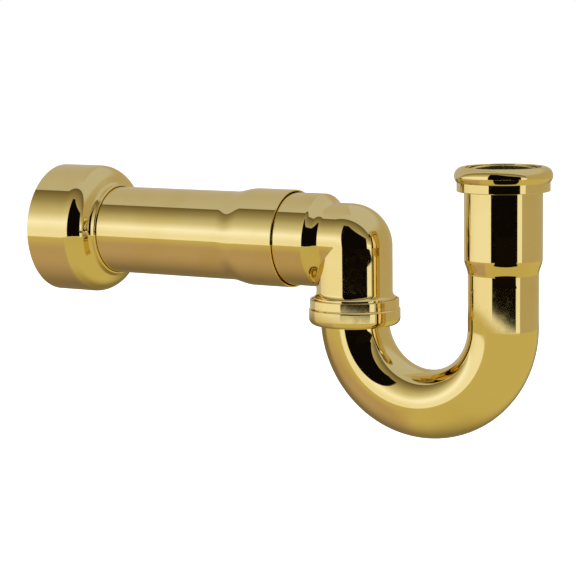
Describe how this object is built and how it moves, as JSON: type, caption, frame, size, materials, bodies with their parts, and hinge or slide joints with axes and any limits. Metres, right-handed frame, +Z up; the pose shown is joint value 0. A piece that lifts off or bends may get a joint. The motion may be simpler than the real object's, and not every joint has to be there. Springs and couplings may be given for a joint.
{
  "type": "p trap",
  "caption": "Polished brass sink trap: a wall flange, a covered trap arm, a tight elbow and a swivelling U bend with slip nuts at its joints.",
  "frame": {"origin": "axis of the trap arm where it crosses the wall's face", "axes": "+X along the arm away from the wall, +Z up the inlet, Y across"},
  "size_m": [0.3273, 0.0752, 0.1511],
  "materials": {
    "polished_brass": "mirror-polished, lacquered",
    "raw_brass": "turned, unpolished",
    "rubber": "matt moulded",
    "nylon": "satin moulded",
    "spring_steel": "bright wire"
  },
  "bodies": {
    "arm": {"trap_arm": "raw_brass", "trap_elbow": "polished_brass", "elbow_skirt": "polished_brass", "arm_snap_ring": "spring_steel", "arm_seal_ring": "rubber", "cover_grip_ring": "rubber"},
    "bend": {"outlet_quarter": "polished_brass", "inlet_quarter": "polished_brass", "inlet_leg": "polished_brass", "inlet_thread_collar": "raw_brass", "inlet_slip_washer": "rubber", "outlet_collar": "raw_brass", "union_gasket": "rubber"},
    "inlet_ring": {"inlet_friction_ring": "nylon"},
    "inlet_nut": {"inlet_slip_nut": "polished_brass"},
    "union_ring": {"union_friction_ring": "nylon"},
    "union_nut": {"union_nut": "polished_brass"},
    "cover_ring": {"rear_centring_ring": "nylon"},
    "cover": {"cover_tube": "polished_brass"},
    "flange_ring": {"flange_grip_ring": "rubber"},
    "flange": {"wall_flange": "polished_brass"},
    "wall_seal": {"wall_slip_washer": "rubber", "wall_friction_ring": "nylon"},
    "wall_nut": {"wall_slip_nut": "raw_brass"}
  },
  "joints": [
    {"name": "bend_swivel", "type": "hinge", "parent": "arm", "child": "bend", "pos_m": [0.2, 0, -0.04], "axis": [0, 0, 1], "range_deg": [-130, 130]},
    {"name": "union_travel", "type": "slide", "parent": "arm", "child": "union_ring", "axis": [0, 0, -1], "range_m": [0, 0.0067]},
    {"name": "union_nut_turn", "type": "hinge", "parent": "union_ring", "child": "union_nut", "pos_m": [0.2, 0, -0.04], "axis": [0, 0, -1], "range_deg": [0, 1080]},
    {"name": "inlet_travel", "type": "slide", "parent": "bend", "child": "inlet_ring", "axis": [0, 0, 1], "range_m": [0, 0.0067]},
    {"name": "inlet_nut_turn", "type": "hinge", "parent": "inlet_ring", "child": "inlet_nut", "pos_m": [0.291, 0, 0.038], "axis": [0, 0, 1], "range_deg": [0, 1080]},
    {"name": "cover_slide", "type": "slide", "parent": "arm", "child": "cover_ring", "axis": [1, 0, 0], "range_m": [-0.008, 0]},
    {"name": "cover_turn", "type": "hinge", "parent": "cover_ring", "child": "cover", "pos_m": [0.1, 0, 0], "axis": [1, 0, 0], "continuous": true},
    {"name": "flange_slide", "type": "slide", "parent": "arm", "child": "flange_ring", "axis": [1, 0, 0], "range_m": [0, 0.07]},
    {"name": "flange_turn", "type": "hinge", "parent": "flange_ring", "child": "flange", "pos_m": [0.02, 0, 0], "axis": [1, 0, 0], "continuous": true},
    {"name": "wall_seal_slide", "type": "slide", "parent": "arm", "child": "wall_seal", "axis": [1, 0, 0], "range_m": [0, 0.007]},
    {"name": "wall_nut_turn", "type": "hinge", "parent": "wall_seal", "child": "wall_nut", "pos_m": [0.008, 0, 0], "axis": [1, 0, 0], "continuous": true}
  ],
  "couplings": [
    {"joint": "union_travel", "follows": "union_nut_turn", "m_per_rad": 0.00035157},
    {"joint": "inlet_travel", "follows": "inlet_nut_turn", "m_per_rad": 0.00035157}
  ]
}
